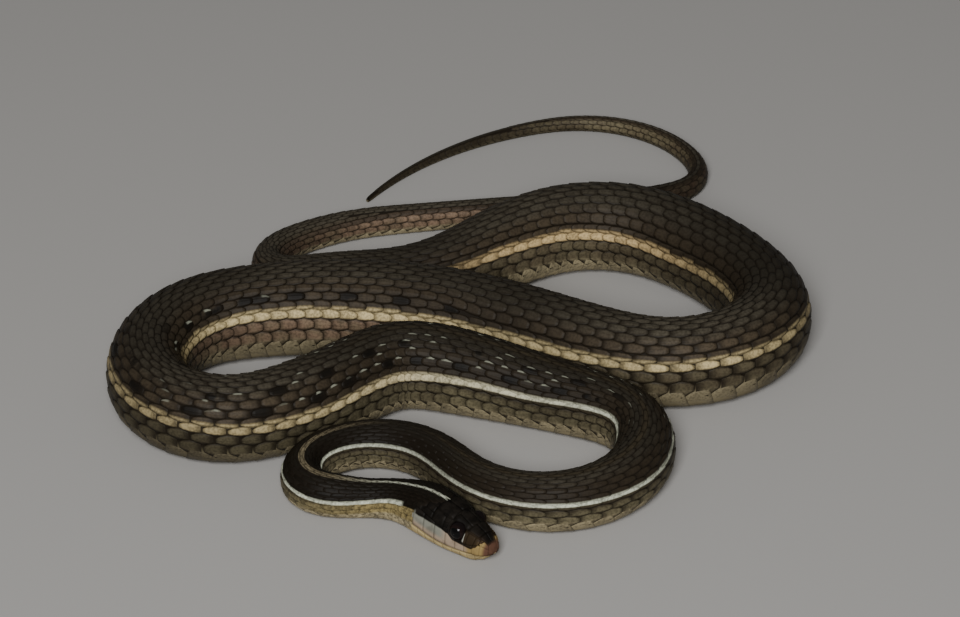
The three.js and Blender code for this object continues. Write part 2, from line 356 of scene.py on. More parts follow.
# The row coordinate under each point of the skin, found back from its turn.
levels = np.linspace(0, BACK_ROW + 0.5, 85)
level_turns = row_turn(rings[:, None], levels[None])
skin_row = np.stack([np.interp(-abs(t), -turns, levels) for t, turns in zip(ring_turn, level_turns)])
skin = mesh_of("skin", on_body(ring_at, ring_turn, height), closed_tube(len(rings), len(down)), {
    "place": (ring_at, skin_row),
    "own": (number_at(ring_at), skin_row),
    "face": (ring_at, abs(ring_down)),
})


class Tone:
    """A value or colour in a shader. Arithmetic on it adds Math nodes; node() adds any other."""

    tree = None

    def __init__(self, socket):
        self.socket = socket

    @classmethod
    def node(cls, kind, settings=None, values=None, out=0):
        """Any node: its settings first, then values or links of its sockets, then one output."""
        made = cls.tree.nodes.new("ShaderNode" + kind)
        for key, value in (settings or {}).items():
            setattr(made, key, value)
        for key, value in (values or {}).items():
            if isinstance(value, Tone):
                cls.tree.links.new(value.socket, made.inputs[key])
            else:
                made.inputs[key].default_value = value
        return cls(made.outputs[out])

    def math(self, operation, *others, swap=False):
        """A Math node of this value and others; swap puts this value last."""
        values = [*others, self] if swap else [self, *others]
        return Tone.node("Math", {"operation": operation}, dict(enumerate(values)))

    def __add__(self, other):
        return self.math("ADD", other)

    def __sub__(self, other):
        return self.math("SUBTRACT", other)

    def __rsub__(self, other):
        return self.math("SUBTRACT", other, swap=True)

    def __mul__(self, other):
        return self.math("MULTIPLY", other)

    __radd__, __rmul__ = __add__, __mul__

    def rise(self, low, high):
        """0 up to low, 1 from high on, smooth between; falls where high is below low."""
        if high < low:
            return 1 - self.rise(high, low)
        return Tone.node("MapRange", {"interpolation_type": "SMOOTHSTEP"}, {0: self, 1: low, 2: high})

    def band(self, low, high, soft):
        """1 between low and high, with soft edges."""
        return self.rise(low - soft, low + soft) * self.rise(high + soft, high - soft)

    def over(self, colour, under):
        """The colour where this mask is 1, what is under it where it is 0, a mix between."""
        return Tone.node("Mix", {"data_type": "RGBA"}, {0: self, 6: under, 7: colour}, out=2)

    def parts(self):
        """The three parts of a vector."""
        made = Tone.node("SeparateXYZ", values={0: self}).socket.node
        return [Tone(made.outputs[k]) for k in range(3)]


def field(name):
    """The three parts of a named vector of the mesh."""
    return Tone.node("Attribute", {"attribute_name": name}, out=1).parts()


def rgb(red, green, blue):
    """A solid colour."""
    return (red, green, blue, 1.0)


def noise(scale, detail=2.0):
    """Even noise from 0 to 1, at a scale per metre, on the object's own coordinates."""
    place = Tone.node("TexCoord", out=3)
    return Tone.node("TexNoise", values={"Vector": place, "Scale": scale, "Detail": detail})


BLACK = rgb(0.004, 0.0036, 0.003)
DEEP_BROWN = rgb(0.012, 0.009, 0.006)
LIP_GREY = rgb(0.2, 0.2, 0.165)
VERTEBRAL = rgb(0.045, 0.035, 0.02)
THROAT_GOLD = rgb(0.3, 0.235, 0.1)
PALE_STRIPE = rgb(0.6, 0.62, 0.485)
NAPE_BUFF = rgb(0.2, 0.165, 0.1)
CREAM = rgb(0.7, 0.56, 0.29)
BUFF = rgb(0.66, 0.48, 0.235)
TAN = rgb(0.13, 0.095, 0.065)
BACK_HUE = (1.0, 0.76, 0.48)
TOP_HUE = (1.0, 0.87, 0.62)
FLANK_HUE = (1.0, 0.86, 0.5)
PINK_HUE = (1.0, 0.67, 0.44)
BELLY_HUE = (1.0, 0.84, 0.5)
SHADOW = 0.03  # strength of the dusky patches on the flank

# How light each colour is, by distance from the snout. The strengths follow the photograph. The back's
# strengths also hold painted shade: they dip where the body bends.
BACK_TONE_AND_SHADE = [(20, 0.005), (68, 0.009), (100, 0.029), (140, 0.025), (182, 0.034), (204, 0.067), (228, 0.035),
              (250, 0.036), (270, 0.058), (310, 0.034), (342, 0.08), (370, 0.023), (430, 0.064), (452, 0.034),
              (470, 0.055), (515, 0.072), (575, 0.038), (605, 0.085), (640, 0.033)]
BELLY_LIGHT = [(25, 0.5), (60, 0.28), (110, 0.3), (170, 0.28), (205, 0.18), (250, 0.21), (330, 0.25),
               (390, 0.26), (430, 0.36), (475, 0.4), (515, 0.7), (575, 0.16)]
FLANK_LIGHT = [(25, 0.32), (37, 0.15), (68, 0.11), (100, 0.15), (120, 0.13), (140, 0.11), (160, 0.16),
               (182, 0.11), (212, 0.12), (575, 0.12), (605, 0.36), (640, 0.06)]
PINK_LIGHT = [(245, 0.14), (270, 0.24), (295, 0.22), (328, 0.13), (390, 0.11), (430, 0.17), (490, 0.16),
              (515, 0.52), (575, 0.09), (605, 0.18), (640, 0.05)]
# Painted shade on the bends: what is left of the light on stripe, flank and belly, which are painted darker
# where the body bends, for the shade and the lost sheen there.
PAINTED_BEND_LIGHT = [(60, 1.0), (75, 0.6), (90, 1.0), (106, 1.0), (120, 0.6), (134, 0.95), (175, 1.0),
              (226, 0.42), (256, 0.95), (295, 1.0), (308, 0.6), (345, 0.8), (371, 0.33), (418, 1.0),
              (430, 1.0), (448, 0.5)]
# The stripe's lower and upper edge as rows, and how much of it shows on the skin between scales.
STRIPE_LOW = [(20, 3.2), (30, 3.3), (44, 3.55), (140, 3.55), (180, 3.12)]
STRIPE_HIGH = [(140, 4.2), (190, 4.2), (202, 4.45), (230, 4.45), (245, 4.25)]
STRIPE_ON_SKIN = [(110, 1.0), (170, 0.0), (235, 0.0), (250, 0.75), (305, 0.0), (362, 0.0), (374, 0.8)]


def along_curve(along, rows):
    """A value that goes smoothly from row to row of (distance from the snout, value)."""
    value = rows[0][1]
    for (low, start), (high, end) in zip(rows, rows[1:]):
        if end != start:
            value = along.rise(low, high) * (end - start) + value
    return value


def tint(hue, strength):
    """A hue made as light as a strength."""
    return Tone.node("VectorMath", {"operation": "SCALE"}, {0: hue, "Scale": strength})


def back_colour(along, row):
    """Brown, paler on top, with painted shade where the body bends; a dull line along the spine and a pale
    one on the nape.
    """
    # The back's strength along the body includes painted shade on the bends.
    depth = along_curve(along, BACK_TONE_AND_SHADE)
    crown = depth * (along.rise(120, 95) * 0.7 + 1)
    back = row.rise(6.5, 8.5).over(tint(TOP_HUE, crown), tint(BACK_HUE, depth))
    spine = row.rise(9.4, 10.1) * along.rise(60, 80) * along.rise(210, 150)
    back = (spine * 0.7).over(VERTEBRAL, back)
    nape = (row + along.rise(24, 34) * 0.25).rise(9.74, 9.95) * along.rise(10.6, 11.2) * along.rise(64, 44)
    return (nape * 0.9).over(along.rise(20, 34).over(NAPE_BUFF, PALE_STRIPE), back)


def flank_colour(along, row, mottle, fine_mottle):
    """Olive, pinkish from the middle of the trunk on, paler on the belly, gold on the throat,
    with dusky patches."""
    belly = tint(BELLY_HUE, along_curve(along, BELLY_LIGHT))
    flank = tint(FLANK_HUE, along_curve(along, FLANK_LIGHT))
    pinkish = along.rise(225, 245) * (1 - along.rise(575, 600) * 0.6) * (1 - along.band(310, 455, 10) * 0.75)
    pinkish = pinkish * (mottle.rise(0.4, 0.6) * 0.5 + 0.5)
    flank = pinkish.over(tint(PINK_HUE, along_curve(along, PINK_LIGHT)), flank)
    flank = along.rise(42, 26).over(THROAT_GOLD, flank)
    flank = row.rise(1.0, 1.5).over(flank, belly)
    dusky = tint(BACK_HUE, SHADOW)
    under = row.rise(2.2, 3.1) * along.rise(24, 45) * along.rise(220, 150)
    flank = (under * 0.75).over(dusky, flank)
    flank = (mottle.rise(0.45, 0.75) * 0.35).over(dusky, flank)
    return (fine_mottle.rise(0.5, 0.65) * along.rise(60, 30) * 0.45).over(BLACK, flank)


def spots_at(along, number, own_row, mottle):
    """A mask of two rows of dark spots: a wave along the scales' numbers, broken up by noise."""
    wave = (number * 2.2).math("SINE")
    low = (wave + mottle * 3).rise(1.6, 2.0) * own_row.band(5.1, 5.9, 0.1) * along.band(120, 340, 10)
    high = (wave * -1 + mottle * 3).rise(1.9, 2.3) * own_row.band(7.1, 7.9, 0.1) * along.band(125, 236, 10)
    return low.math("MAXIMUM", high)


def body_colour(scaly):
    """The markings of neck, trunk and tail, by distance from the snout and row. The scales
    have a fine speckle and a ragged edge to the stripe; the skin between them is dark."""
    along, row, _ = field("place")
    number, own_row, chance = field("own")
    mottle = noise(260.0, 3.0)
    fine_mottle = noise(1500.0)
    above = row - along_curve(along, STRIPE_HIGH)
    below = row - along_curve(along, STRIPE_LOW)
    flank = flank_colour(along, row, mottle, fine_mottle)
    colour = below.rise(-0.1, 0.3).over(back_colour(along, row), flank)
    if scaly:
        above = above - (chance - 0.4) * along.rise(170, 200) * 0.3
    colour = (spots_at(along, number, own_row, mottle) * 0.95).over(BLACK, colour)
    stripe_colour = along.rise(120, 200).over(CREAM, PALE_STRIPE)
    stripe_colour = along.rise(360, 400).over(BUFF, stripe_colour)
    stripe_colour = along.rise(440, 480).over(TAN, stripe_colour)
    stripe = below.rise(-0.1, 0.1) * above.rise(0.22, -0.22)
    stripe = stripe * along.rise(18.6, 19.6) * along.rise(560, 500)
    stripe = stripe * (1 - fine_mottle.rise(0.6, 0.9) * 0.3)
    colour = stripe.over(stripe_colour, colour)
    # Painted shade on the bends: stripe, flank and belly go towards deep brown as the table above falls.
    bend_light_left = along_curve(along, PAINTED_BEND_LIGHT)
    colour = ((1 - bend_light_left) * row.rise(4.9, 4.5)).over(DEEP_BROWN, colour)
    if scaly:
        speckle = noise(2300.0, 3.0).rise(0.42, 0.62)
        return ((chance * 0.25) + (speckle * 0.32)).over(DEEP_BROWN, colour)
    dark = row.rise(1.2, 1.8) * (1 - stripe * along_curve(along, STRIPE_ON_SKIN))
    return (dark * 0.97).over(along.rise(120, 190).over(DEEP_BROWN, BLACK), colour)


BROWN_SNOUT = rgb(0.03, 0.017, 0.009)
SNOUT_GOLD = rgb(0.27, 0.19, 0.075)
TIP_BROWN = rgb(0.1, 0.05, 0.032)
LIP_PINK = rgb(0.32, 0.245, 0.175)
CHIN_BUFF = rgb(0.4, 0.31, 0.15)
WHITE_BAR = rgb(0.5, 0.5, 0.43)
CAP_BROWN = rgb(0.011, 0.009, 0.007)
CAP_BLACK = rgb(0.006, 0.005, 0.004)
LOREAL_BROWN = rgb(0.032, 0.021, 0.011)
LIP_TOP_EDGE = [(1.2, 0.3), (1.5, 0.45), (2.3, 0.7), (3.1, 0.81), (6.4, 0.785), (7.9, 0.68), (9.2, 0.65),
                (12.6, 0.66), (14.8, 0.69)]  # how far down from the top the pale of the lips begins


def head_colour():
    """The head's markings: a black cap down to the lips, brown on the snout, pale lips and chin,
    and a narrow white bar before the eye."""
    along, down, _ = field("face")
    mottle = noise(700.0, 3.0)
    cap = mottle.rise(0.4, 0.6).over(CAP_BROWN, CAP_BLACK)
    cap = (along.rise(3.4, 1.6) * down.rise(0.1, 0.5)).over(BROWN_SNOUT, cap)
    loreal = (down + mottle * 0.2).band(0.45, 0.85, 0.08) * along.band(2.0, 4.8, 0.3)
    cap = (loreal * 0.85).over(LOREAL_BROWN, cap)
    cap = (mottle.rise(0.5, 0.62) * along.rise(2.3, 1.5) * down.rise(0.15, 0.4) * 0.5).over(SNOUT_GOLD, cap)
    lip = (along.rise(7.5, 9.5) * down.rise(0.92, 0.8)).over(LIP_GREY, LIP_PINK)
    lip = along.rise(4.6, 3.2).over(SNOUT_GOLD, lip)
    lip = along.rise(1.3, 0.7).over(TIP_BROWN, lip)
    lip = (mottle.rise(0.5, 0.75) * 0.3).over(BROWN_SNOUT, lip)
    lips = (down - along_curve(along, LIP_TOP_EDGE) + mottle * 0.03).rise(0.0, 0.035)
    lips = lips.math("MAXIMUM", along.rise(0.9, 0.5))
    colour = lips.over(lip, cap)
    bar = along.band(4.62, 4.92, 0.09) * down.band(0.46, 0.7, 0.04)
    colour = (bar * 0.8).over(WHITE_BAR, colour)
    # The nostril: painted shade of its opening, which is not modelled as a hole.
    nostril_shade = along.band(1.55, 1.85, 0.12) * down.band(0.5, 0.56, 0.025)
    colour = nostril_shade.over(BLACK, colour)
    jaw_bar = along.band(15.1, 15.7, 0.15) * down.band(0.62, 0.78, 0.04)
    colour = (jaw_bar * 0.7).over(LIP_GREY, colour)
    chin = (mottle.rise(0.45, 0.7) * 0.3).over(tint(BACK_HUE, 0.12), CHIN_BUFF)
    return down.rise(0.99, 1.01).over(chin, colour)


def new_material(name, colour_of, roughness, shine, grain_scale=0.0, grain_height=0.0):
    """A satin finish with a colour worked out by colour_of and a fine even grain, whose height
    is in metres and which is left out where that is 0."""
    material = bpy.data.materials.new(name)
    material.use_nodes = True
    Tone.tree = material.node_tree
    shader = material.node_tree.nodes["Principled BSDF"]
    material.node_tree.links.new(colour_of().socket, shader.inputs["Base Color"])
    shader.inputs["Roughness"].default_value = roughness
    shader.inputs["Specular IOR Level"].default_value = shine
    if grain_height:
        grain = {"Height": noise(grain_scale), "Distance": grain_height, "Strength": 0.5}
        material.node_tree.links.new(Tone.node("Bump", values=grain).socket, shader.inputs["Normal"])
    return material


def skin_colour():
    """Body markings with the head's in front of them."""
    along = field("place")[0]
    return along.rise(17.0, 16.0).over(head_colour(), body_colour(False))


skin.data.materials.append(new_material("skin hide", skin_colour, 0.6, 0.05, 3000.0, 0.00005))
FLESH = (["head", "lower_jaw", "neck"] + [f"trunk_{n}" for n in range(1, 8)]
         + [f"tail_{n}" for n in range(1, 5)])
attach(skin, "root")
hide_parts(*FLESH)

# Back and side scales: thin horny plates in up to nineteen rows, each rooted in the skin at its
# front end, raised at its free rear end over the front of the next, with a low keel along it.
SCALE_U = np.array([-1, -0.9, -0.55, 0, 0.55, 0.88, 1])
SCALE_V = np.array([-1, -0.92, -0.5, -0.13, 0, 0.13, 0.5, 0.92, 1])
# Two outlines of a scale: half its width at places along it, from the front end to the rear.
SIX_SIDED = [(-1, 0.36), (-0.9, 0.62), (-0.55, 0.9), (0, 1), (0.55, 0.86), (0.88, 0.52), (1, 0.24)]
POINTED = [(-1, 0.4), (-0.9, 0.68), (-0.55, 0.94), (0, 1), (0.55, 0.76), (0.88, 0.38), (1, 0.12)]
# For each row: how far its outline is the pointed one, and where it begins.
ROW_POINTED = [0, 0.6, 0.8, 1.0, 0.8, 0.6, 0.4, 0.3, 0.2, 0.2, 0.2]
ROW_START = [17, 15.8, 15.7, 15.6, 14.7, 13.2, 12.6, 12.2, 11.8, 11.4, 11.0]
# Half the width in rows and half the length in pitches, by distance from the snout.
HALF_WIDE = [(0, 0.7), (60, 0.68), (130, 0.66), (195, 0.64), (400, 0.65), (460, 0.66), (670, 0.68)]
HALF_LONG = [(0, 0.74), (60, 0.72), (130, 0.66), (195, 0.61), (400, 0.62), (460, 0.66), (670, 0.72)]
KEEL = 0.16  # height of the keel over the thickness of the scale
KEEL_FADE = 1.3  # the keel is whole where the way to the scale's middle is 0.3 or less
DOME = 0.2  # share of its height that a scale loses towards its sides
FRONT_RISE = 0.05  # share of its thickness that a scale has at the front end
ROOT = 1.4  # depth of a plate's sunken rim, in thicknesses
STRETCH_LIMITS, STRETCH_POWER = (0.6, 1.6), 0.55  # scales are shortened by this power of the stretch
FIRST_NUMBER, SETTLE = -6, 4  # number of the first scale tried, passes that fix its phase
TIP_BARE = 4  # end of the tail that has no scales
MARGIN, PATCH, SCALE_LANES = 0.7, 0.38, 23  # the bake map: border, half a scale's side, lanes


def chance_of(number, row, side):
    """An even spread of numbers from 0 to 1, one for each scale, always the same."""
    return np.modf(abs(np.sin(number * 12.9898 + row * 78.233 + side * 37.719)) * 43758.5453)[0]


def plate_faces(u_count, v_count, copies):
    """Faces of many plates, each a grid on top, closed underneath from edge to edge."""
    index = np.arange(u_count * v_count).reshape(u_count, v_count)
    under = np.stack([index[1:, 0], index[:-1, 0], index[:-1, -1], index[1:, -1]], -1)
    ends = np.stack([index[0], index[-1, ::-1]])
    shift = np.arange(copies)[:, None, None] * index.size
    return [(group[None] + shift).reshape(-1, group.shape[1])
            for group in (grid_faces(u_count, v_count), under, ends)]


def plates(name, finish, at, turn, height, fields, bake_map):
    """One piece of many closed plates, from arrays of plate x along x across. The caller sinks
    the rim of each plate below the skin; only what lies inside the rim is shaded round."""
    copies, u_count, v_count = at.shape
    inner = np.zeros((u_count - 1, v_count - 1), bool)
    inner[1:-1, 1:-1] = True
    smooth_faces = np.concatenate([np.tile(inner.ravel(), copies), np.zeros(copies * (u_count + 1), bool)])
    faces = plate_faces(u_count, v_count, copies)
    piece = mesh_of(name, on_body(at, turn, height), faces, fields, bake_map, smooth_faces)
    piece.data.materials.append(finish)
    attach(piece, "root")


def phase(at, row):
    """Rows in turn are set half a scale apart, counted over the rows that are left."""
    return 0.5 * np.cumsum(rows_left(at), -1)[..., row]


def scale_coat(name, at_low, at_high):
    """Scales of rows 1 to 10 between two distances. Each is a grid of two parameters, along and
    across, whose width follows a six-sided or pointed outline; its place is its number, row and
    side. Where a bend stretches the skin a scale grows by part of that and the gap opens."""
    picks = []
    for row in range(1, BACK_ROW + 1):
        whole_number = np.arange(FIRST_NUMBER, counted[-1])
        at = at_number(whole_number)
        for _ in range(SETTLE):
            at = at_number(whole_number + phase(at, row))
        keep = (at >= max(at_low, ROW_START[row])) & (at < min(at_high, ROW_END[row] - 1, LENGTH - TIP_BARE))
        number = number_at(at)[keep]
        for side in (1,) if row == BACK_ROW else (1, -1):
            picks.append(np.stack([number, 0 * number + row, 0 * number + side], -1))
    number, row, side = np.concatenate(picks).T[:, :, None, None]
    on_back = row == BACK_ROW
    u, v = np.meshgrid(SCALE_U, SCALE_V, indexing="ij")
    pointed = np.take(ROW_POINTED, row.astype(int))
    outline_u = (1 - pointed) * np.interp(u, *np.array(SIX_SIDED).T)
    outline_u = outline_u + pointed * np.interp(u, *np.array(POINTED).T)
    centre = at_number(number)
    middle = np.where(on_back, 0, side * row_turn(centre, row + 0.5))
    stretch = np.clip(stretch_at(centre, middle), *STRETCH_LIMITS)
    at = at_number(number + u * smooth(HALF_LONG, centre) / stretch ** STRETCH_POWER)
    wide = smooth(HALF_WIDE, centre) * outline_u
    up = -side * v
    own = row + 0.5 + up * wide
    turn = np.where(on_back, v * wide * 2 * row_turn(at, BACK_ROW), side * row_turn(at, own))
    rim = np.maximum(abs(u), abs(v)) == 1
    keel = KEEL * (v == 0) * np.clip(KEEL_FADE - abs(u), 0, 1) * (row > 1)
    rise = (FRONT_RISE + (1 - FRONT_RISE) * (u + 1) / 2) * (1 - DOME * v * v) + keel
    plates(name, scale_finish, at, turn, smooth(COAT, at) * np.where(rim, -ROOT, rise - 1), {
        "place": (at, np.where(on_back, BACK_ROW + 0.5 - abs(v) * wide, own)),
        "own": (number, row + 0.5, chance_of(number, row, side)),
        "cell": (u, up),
    }, ((number - number.min() + MARGIN + u * PATCH) / (np.ptp(number) + 2 * MARGIN),
        0.5 + (side * (BACK_ROW + 0.9 - row) + v * PATCH) / SCALE_LANES))


def scale_colour():
    """Body markings, with painted shade on the edge of each scale where the scales overlap, and pale flecks
    on some of them.
    """
    along, row, _ = field("place")
    u, up, _ = field("cell")
    _, own_row, chance = field("own")
    colour = body_colour(True)
    # Painted shade where the scales overlap: a dark edge, strongest along the lower side and at the front end
    # under the scale before, weaker on the pale stripe.
    rim = (up.rise(-0.3, -0.85) * 0.9).math("MAXIMUM", up.rise(0.55, 0.95) * 0.8)
    rim = rim.math("MAXIMUM", u.rise(0.62, 0.97) * 0.75).math("MAXIMUM", u.rise(-0.1, -0.9) * 0.8)
    pale = row.band(3.3, 4.6, 0.1) * (0.9 - along.rise(150, 185) * 0.65)
    pale = pale.math("MAXIMUM", along.rise(60, 30) * row.rise(4.6, 4.0) * 0.7)
    colour = (rim * (1 - pale * 0.9)).over(DEEP_BROWN, colour)
    fleck = up.band(0.55, 0.9, 0.06) * (u + noise(900.0) * 0.9).band(0.1, 0.7, 0.15) * chance.rise(0.7, 0.74)
    fleck = fleck * own_row.band(5.2, 8.8, 0.2) * along.band(125, 214, 12)
    near_stripe = up.band(0.4, 0.9, 0.1) * u.band(0.2, 0.9, 0.15) * own_row.band(5.3, 5.7, 0.1)
    fleck = fleck.math("MAXIMUM", near_stripe * along.band(214, 262, 8) * chance.rise(0.6, 0.7))
    return (fleck * 0.33).over(PALE_STRIPE, colour)


scale_finish = new_material("scales", scale_colour, 0.5, 0.08, 2500.0, 0.00004)
scale_coat("neck_scales", 10, 66)
scale_coat("trunk_scales_front", 66, 150)
scale_coat("trunk_scales_second", 150, 235)
scale_coat("trunk_scales_third", 235, 320)
scale_coat("trunk_scales_fourth", 320, 400)
scale_coat("trunk_scales_rear", 400, 466)
scale_coat("tail_scales", 466, LENGTH)

# Belly scutes: one broad smooth plate for every scale of the lowest row, its ends turned up
# between those scales; behind the vent they are paired. Each overlaps the next.
SCUTE_U = np.array([-1, -0.85, -0.2, 0.5, 0.9, 1])
SCUTE_V = np.array([-1, -0.97, -0.9, -0.8, -0.68, -0.5, -0.25, 0, 0.25, 0.5, 0.68, 0.8, 0.9, 0.97, 1])
SCUTE_REACH = 1.22  # how far its ends come up, in rows
SCUTE_REAR, REAR_DRAWN, REAR_FROM_TO = 0.52, 0.5, (0.4, 1.25)  # rear edge, and how it runs forward
SCUTE_LONG, CORNER_CUT, CUT_FROM_TO = 1.12, 0.95, (0.86, 1.3)  # length, and how the ends narrow
SCUTE_FRONT_RISE, SCUTE_RISE = 0.1, 0.5  # height at the front and what it gains, in thicknesses
SEAM, STAGGER = 0.02, 0.2  # paired scutes: from the middle line in rows, ahead of each other in pitches
SCUTE_PATCH, SCUTE_LANES = 0.42, 6  # the bake map: half a scute's side, lanes
VENT = 467.0


def scute_coat(name, at_low, at_high, paired):
    """Scutes between two distances, on a grid of two parameters. The rear edge runs forward
    towards the ends, where the plate narrows to a corner. Paired ones reach to the middle only."""
    number = np.arange(np.ceil(number_at(at_low)), np.floor(number_at(at_high)))[:, None, None]
    u, v = np.meshgrid(SCUTE_U, SCUTE_V, indexing="ij")
    side = np.sign(-v)
    reach = abs(v) * SCUTE_REACH + 0 * number
    if paired:
        side = np.repeat([1.0, -1.0], len(number))[:, None, None]
        reach = SEAM + (SCUTE_REACH - SEAM) * (1 - side * v) / 2
        number = np.concatenate([number, number]) + STAGGER * side
    rear = SCUTE_REAR - REAR_DRAWN * step(reach, *REAR_FROM_TO)
    front = rear - SCUTE_LONG + CORNER_CUT * step(reach, *CUT_FROM_TO)
    at = at_number(number + front + (rear - front) * (u + 1) / 2)
    turn = row_turn(at, reach)
    turn = np.where(side > 0, turn, 2 - turn)
    rim = np.maximum(abs(u), abs(v)) == 1
    rise = SCUTE_FRONT_RISE + SCUTE_RISE * (u + 1) / 2
    index = np.arange(len(number))[:, None, None]
    per_lane = len(number) // SCUTE_LANES + 1
    plates(name, scute_finish, at, turn, smooth(COAT, at) * np.where(rim, -ROOT, rise - 1), {
        "place": (at, reach),
        "own": (number, 0, chance_of(number, 0, side)),
        "cell": (u, v),
    }, ((index % per_lane + 0.5 + SCUTE_PATCH * u) / per_lane,
        (index // per_lane + 0.5 + SCUTE_PATCH * v) / SCUTE_LANES))


def scute_colour():
    """Olive to buff, darker at the edges of each plate."""
    u, v, _ = field("cell")
    colour = body_colour(True)
    rim = u.rise(0.72, 0.96).math("MAXIMUM", v.math("ABSOLUTE").rise(0.93, 1.0))
    return (rim * 0.45).over(DEEP_BROWN, colour)


scute_finish = new_material("belly scutes", scute_colour, 0.5, 0.15, 2500.0, 0.00003)
scute_coat("belly_scutes", 17.5, VENT, False)
scute_coat("tail_scutes", VENT, LENGTH - 5, True)

# Head shields: large smooth plates laid edge to edge over the skull, lips and chin. Each row
# of the table is one shield on the right side or across the middle, as the distances from the
# snout of its four corners, their way down from the top and how far its ends bow.
LIP = [0.35, 1.5, 2.9, 4.4, 6.2, 8.1, 10.4, 12.9, 15.5]  # where the upper lip's shields meet
LIP_TOP = [0.5, 0.55, 0.69, 0.75, 0.745, 0.66, 0.6, 0.55, 0.52]
JAW = [1.3, 2.5, 3.8, 5.2, 6.8, 8.6, 10.5, 12.5, 14.3, 16]  # where the lower lip's shields meet
LIP_EDGE, JAW_EDGE, JAW_LOW = 0.985, 1.02, 1.38  # lower edge of the lip's, both edges of the jaw's
GULAR_DOWN, GULAR_STEP, GULAR_WIDE = (1.42, 1.95), 0.14, 0.13  # throat scales, down from the top
GULAR_AT, GULAR_PITCH, GULAR_LONG = (11.7, 17.5), 1.6, 1.5  # and along it
MIDDLE_SHIELDS = [
    # front left, rear left, rear right, front right (along, down), bow front, bow rear
    ((0.04, -1), (0.3, -1), (0.3, 1), (0.04, 1), 0, 0.42),  # rostral
    ((4.2, -0.17), (7.2, -0.11), (7.2, 0.11), (4.2, 0.17), 0, 0.5),  # frontal
    ((0.9, 1.35), (1.7, 1.5), (1.7, 2.5), (0.9, 2.65), 0, 0.3),  # mental
]
SIDE_SHIELDS = [
    # front upper, rear upper, rear lower, front lower (along, down), bow front, bow rear
    ((0.74, 0), (2.1, 0), (2.05, 0.3), (0.6, 0.3), 0, 0),  # internasal
    ((2.12, 0), (4.25, 0), (4.4, 0.34), (2.1, 0.31), 0, 0),  # prefrontal
    ((4.28, 0.17), (7.2, 0.11), (7.45, 0.34), (4.42, 0.34), 0, 0.2),  # supraocular
    ((7.68, 0), (10.8, 0), (11.4, 0.29), (7.5, 0.345), 0, 0.2),  # parietal
    ((0.55, 0.32), (1.35, 0.32), (1.35, 0.53), (0.42, 0.49), 0, 0),  # front nasal
    ((1.78, 0.32), (2.55, 0.34), (2.7, 0.66), (1.72, 0.56), 0, 0),  # rear nasal
    ((2.62, 0.35), (4.05, 0.36), (4.1, 0.74), (2.78, 0.67), 0, 0),  # loreal
    ((4.12, 0.36), (4.75, 0.36), (4.78, 0.75), (4.17, 0.75), 0, 0),  # preocular
    ((7.75, 0.35), (8.8, 0.35), (8.8, 0.47), (8.1, 0.46), 0, 0),  # postoculars
    ((8.12, 0.465), (8.8, 0.475), (8.8, 0.57), (8.08, 0.57), 0, 0),
    ((8.03, 0.575), (8.8, 0.575), (8.8, 0.64), (7.75, 0.665), 0, 0),
    ((8.82, 0.35), (11.35, 0.3), (11.35, 0.575), (8.82, 0.64), 0, 0),  # temporals
    ((11.37, 0.295), (13.3, 0.28), (13.3, 0.41), (11.37, 0.435), 0, 0.1),
    ((11.37, 0.44), (13.3, 0.415), (13.9, 0.53), (11.37, 0.572), 0, 0.1),
    ((2.6, 1.42), (6.7, 1.42), (6.7, 1.96), (2.6, 1.96), -0.3, 0.3),  # chin shields
    ((7.1, 1.46), (11.4, 1.46), (11.4, 1.9), (7.1, 1.96), 0.3, 0.5),
]
LIP_SHIELDS = [((LIP[n], LIP_TOP[n]), (LIP[n + 1], LIP_TOP[n + 1]),
                (LIP[n + 1], LIP_EDGE), (LIP[n], LIP_EDGE), 0, 0) for n in range(len(LIP) - 1)]
JAW_SHIELDS = [((JAW[n], JAW_EDGE), (JAW[n + 1], JAW_EDGE),
                (JAW[n + 1], JAW_LOW), (JAW[n], JAW_LOW), 0, 0) for n in range(len(JAW) - 1)]
GULARS = [((at, d), (at + GULAR_LONG, d), (at + GULAR_LONG, d + GULAR_WIDE), (at, d + GULAR_WIDE), -0.1, 0.4)
          for n, d in enumerate(np.arange(*GULAR_DOWN, GULAR_STEP))
          for at in np.arange(GULAR_AT[0] + GULAR_PITCH / 2 * (n % 2), GULAR_AT[1], GULAR_PITCH)]
GROOVE = -0.04  # gap between two shields: below 0 they overlap a little
CORNER = 0.02  # how far the corners are rounded
DOWN_LONG = 7.2  # millimetres of the head's girth for a step of 1 in down
SHIELD_DOME = 0.15  # how much lower than its middle a shield is at the corners, in thicknesses
SHIELD_HOLLOW = (1.6, 1.8)  # as HOLLOW, for the shields round the eye
SHIELD_PATCH, SHIELD_LANES = 0.42, 12  # the bake map: half a shield's side, lanes
paired_shields = SIDE_SHIELDS + LIP_SHIELDS + JAW_SHIELDS + GULARS
corners = np.array([[part for corner in shield[:4] for part in corner] + list(shield[4:])
                    for shield in MIDDLE_SHIELDS + paired_shields * 2], float)
side = np.ones((len(corners), 1, 1))
side[-len(paired_shields):] = -1
corner_at = corners[:, 0:8:2, None, None]
corner_down = corners[:, 1:8:2, None, None]
bow_front, bow_rear = corners[:, 8, None, None], corners[:, 9, None, None]
SHIELD_STEPS = np.array([-1, -0.985, -0.6, 0, 0.6, 0.985, 1])
u, v = np.meshgrid(SHIELD_STEPS, SHIELD_STEPS, indexing="ij")
length = abs(corner_at[:, 1] + corner_at[:, 2] - corner_at[:, 0] - corner_at[:, 3]) / 2
width = abs(corner_down[:, 2] + corner_down[:, 3] - corner_down[:, 0] - corner_down[:, 1]) / 2 * DOWN_LONG
p = u * (1 - CORNER * v * v) * (1 - GROOVE / length) / 2 + 0.5
q = side * v * (1 - CORNER * u * u) * (1 - GROOVE / width) / 2 + 0.5


def between(corner):
    """A value blended evenly between a shield's four corners."""
    upper = (1 - p) * corner[:, 0] + p * corner[:, 1]
    return (1 - q) * upper + q * ((1 - p) * corner[:, 3] + p * corner[:, 2])


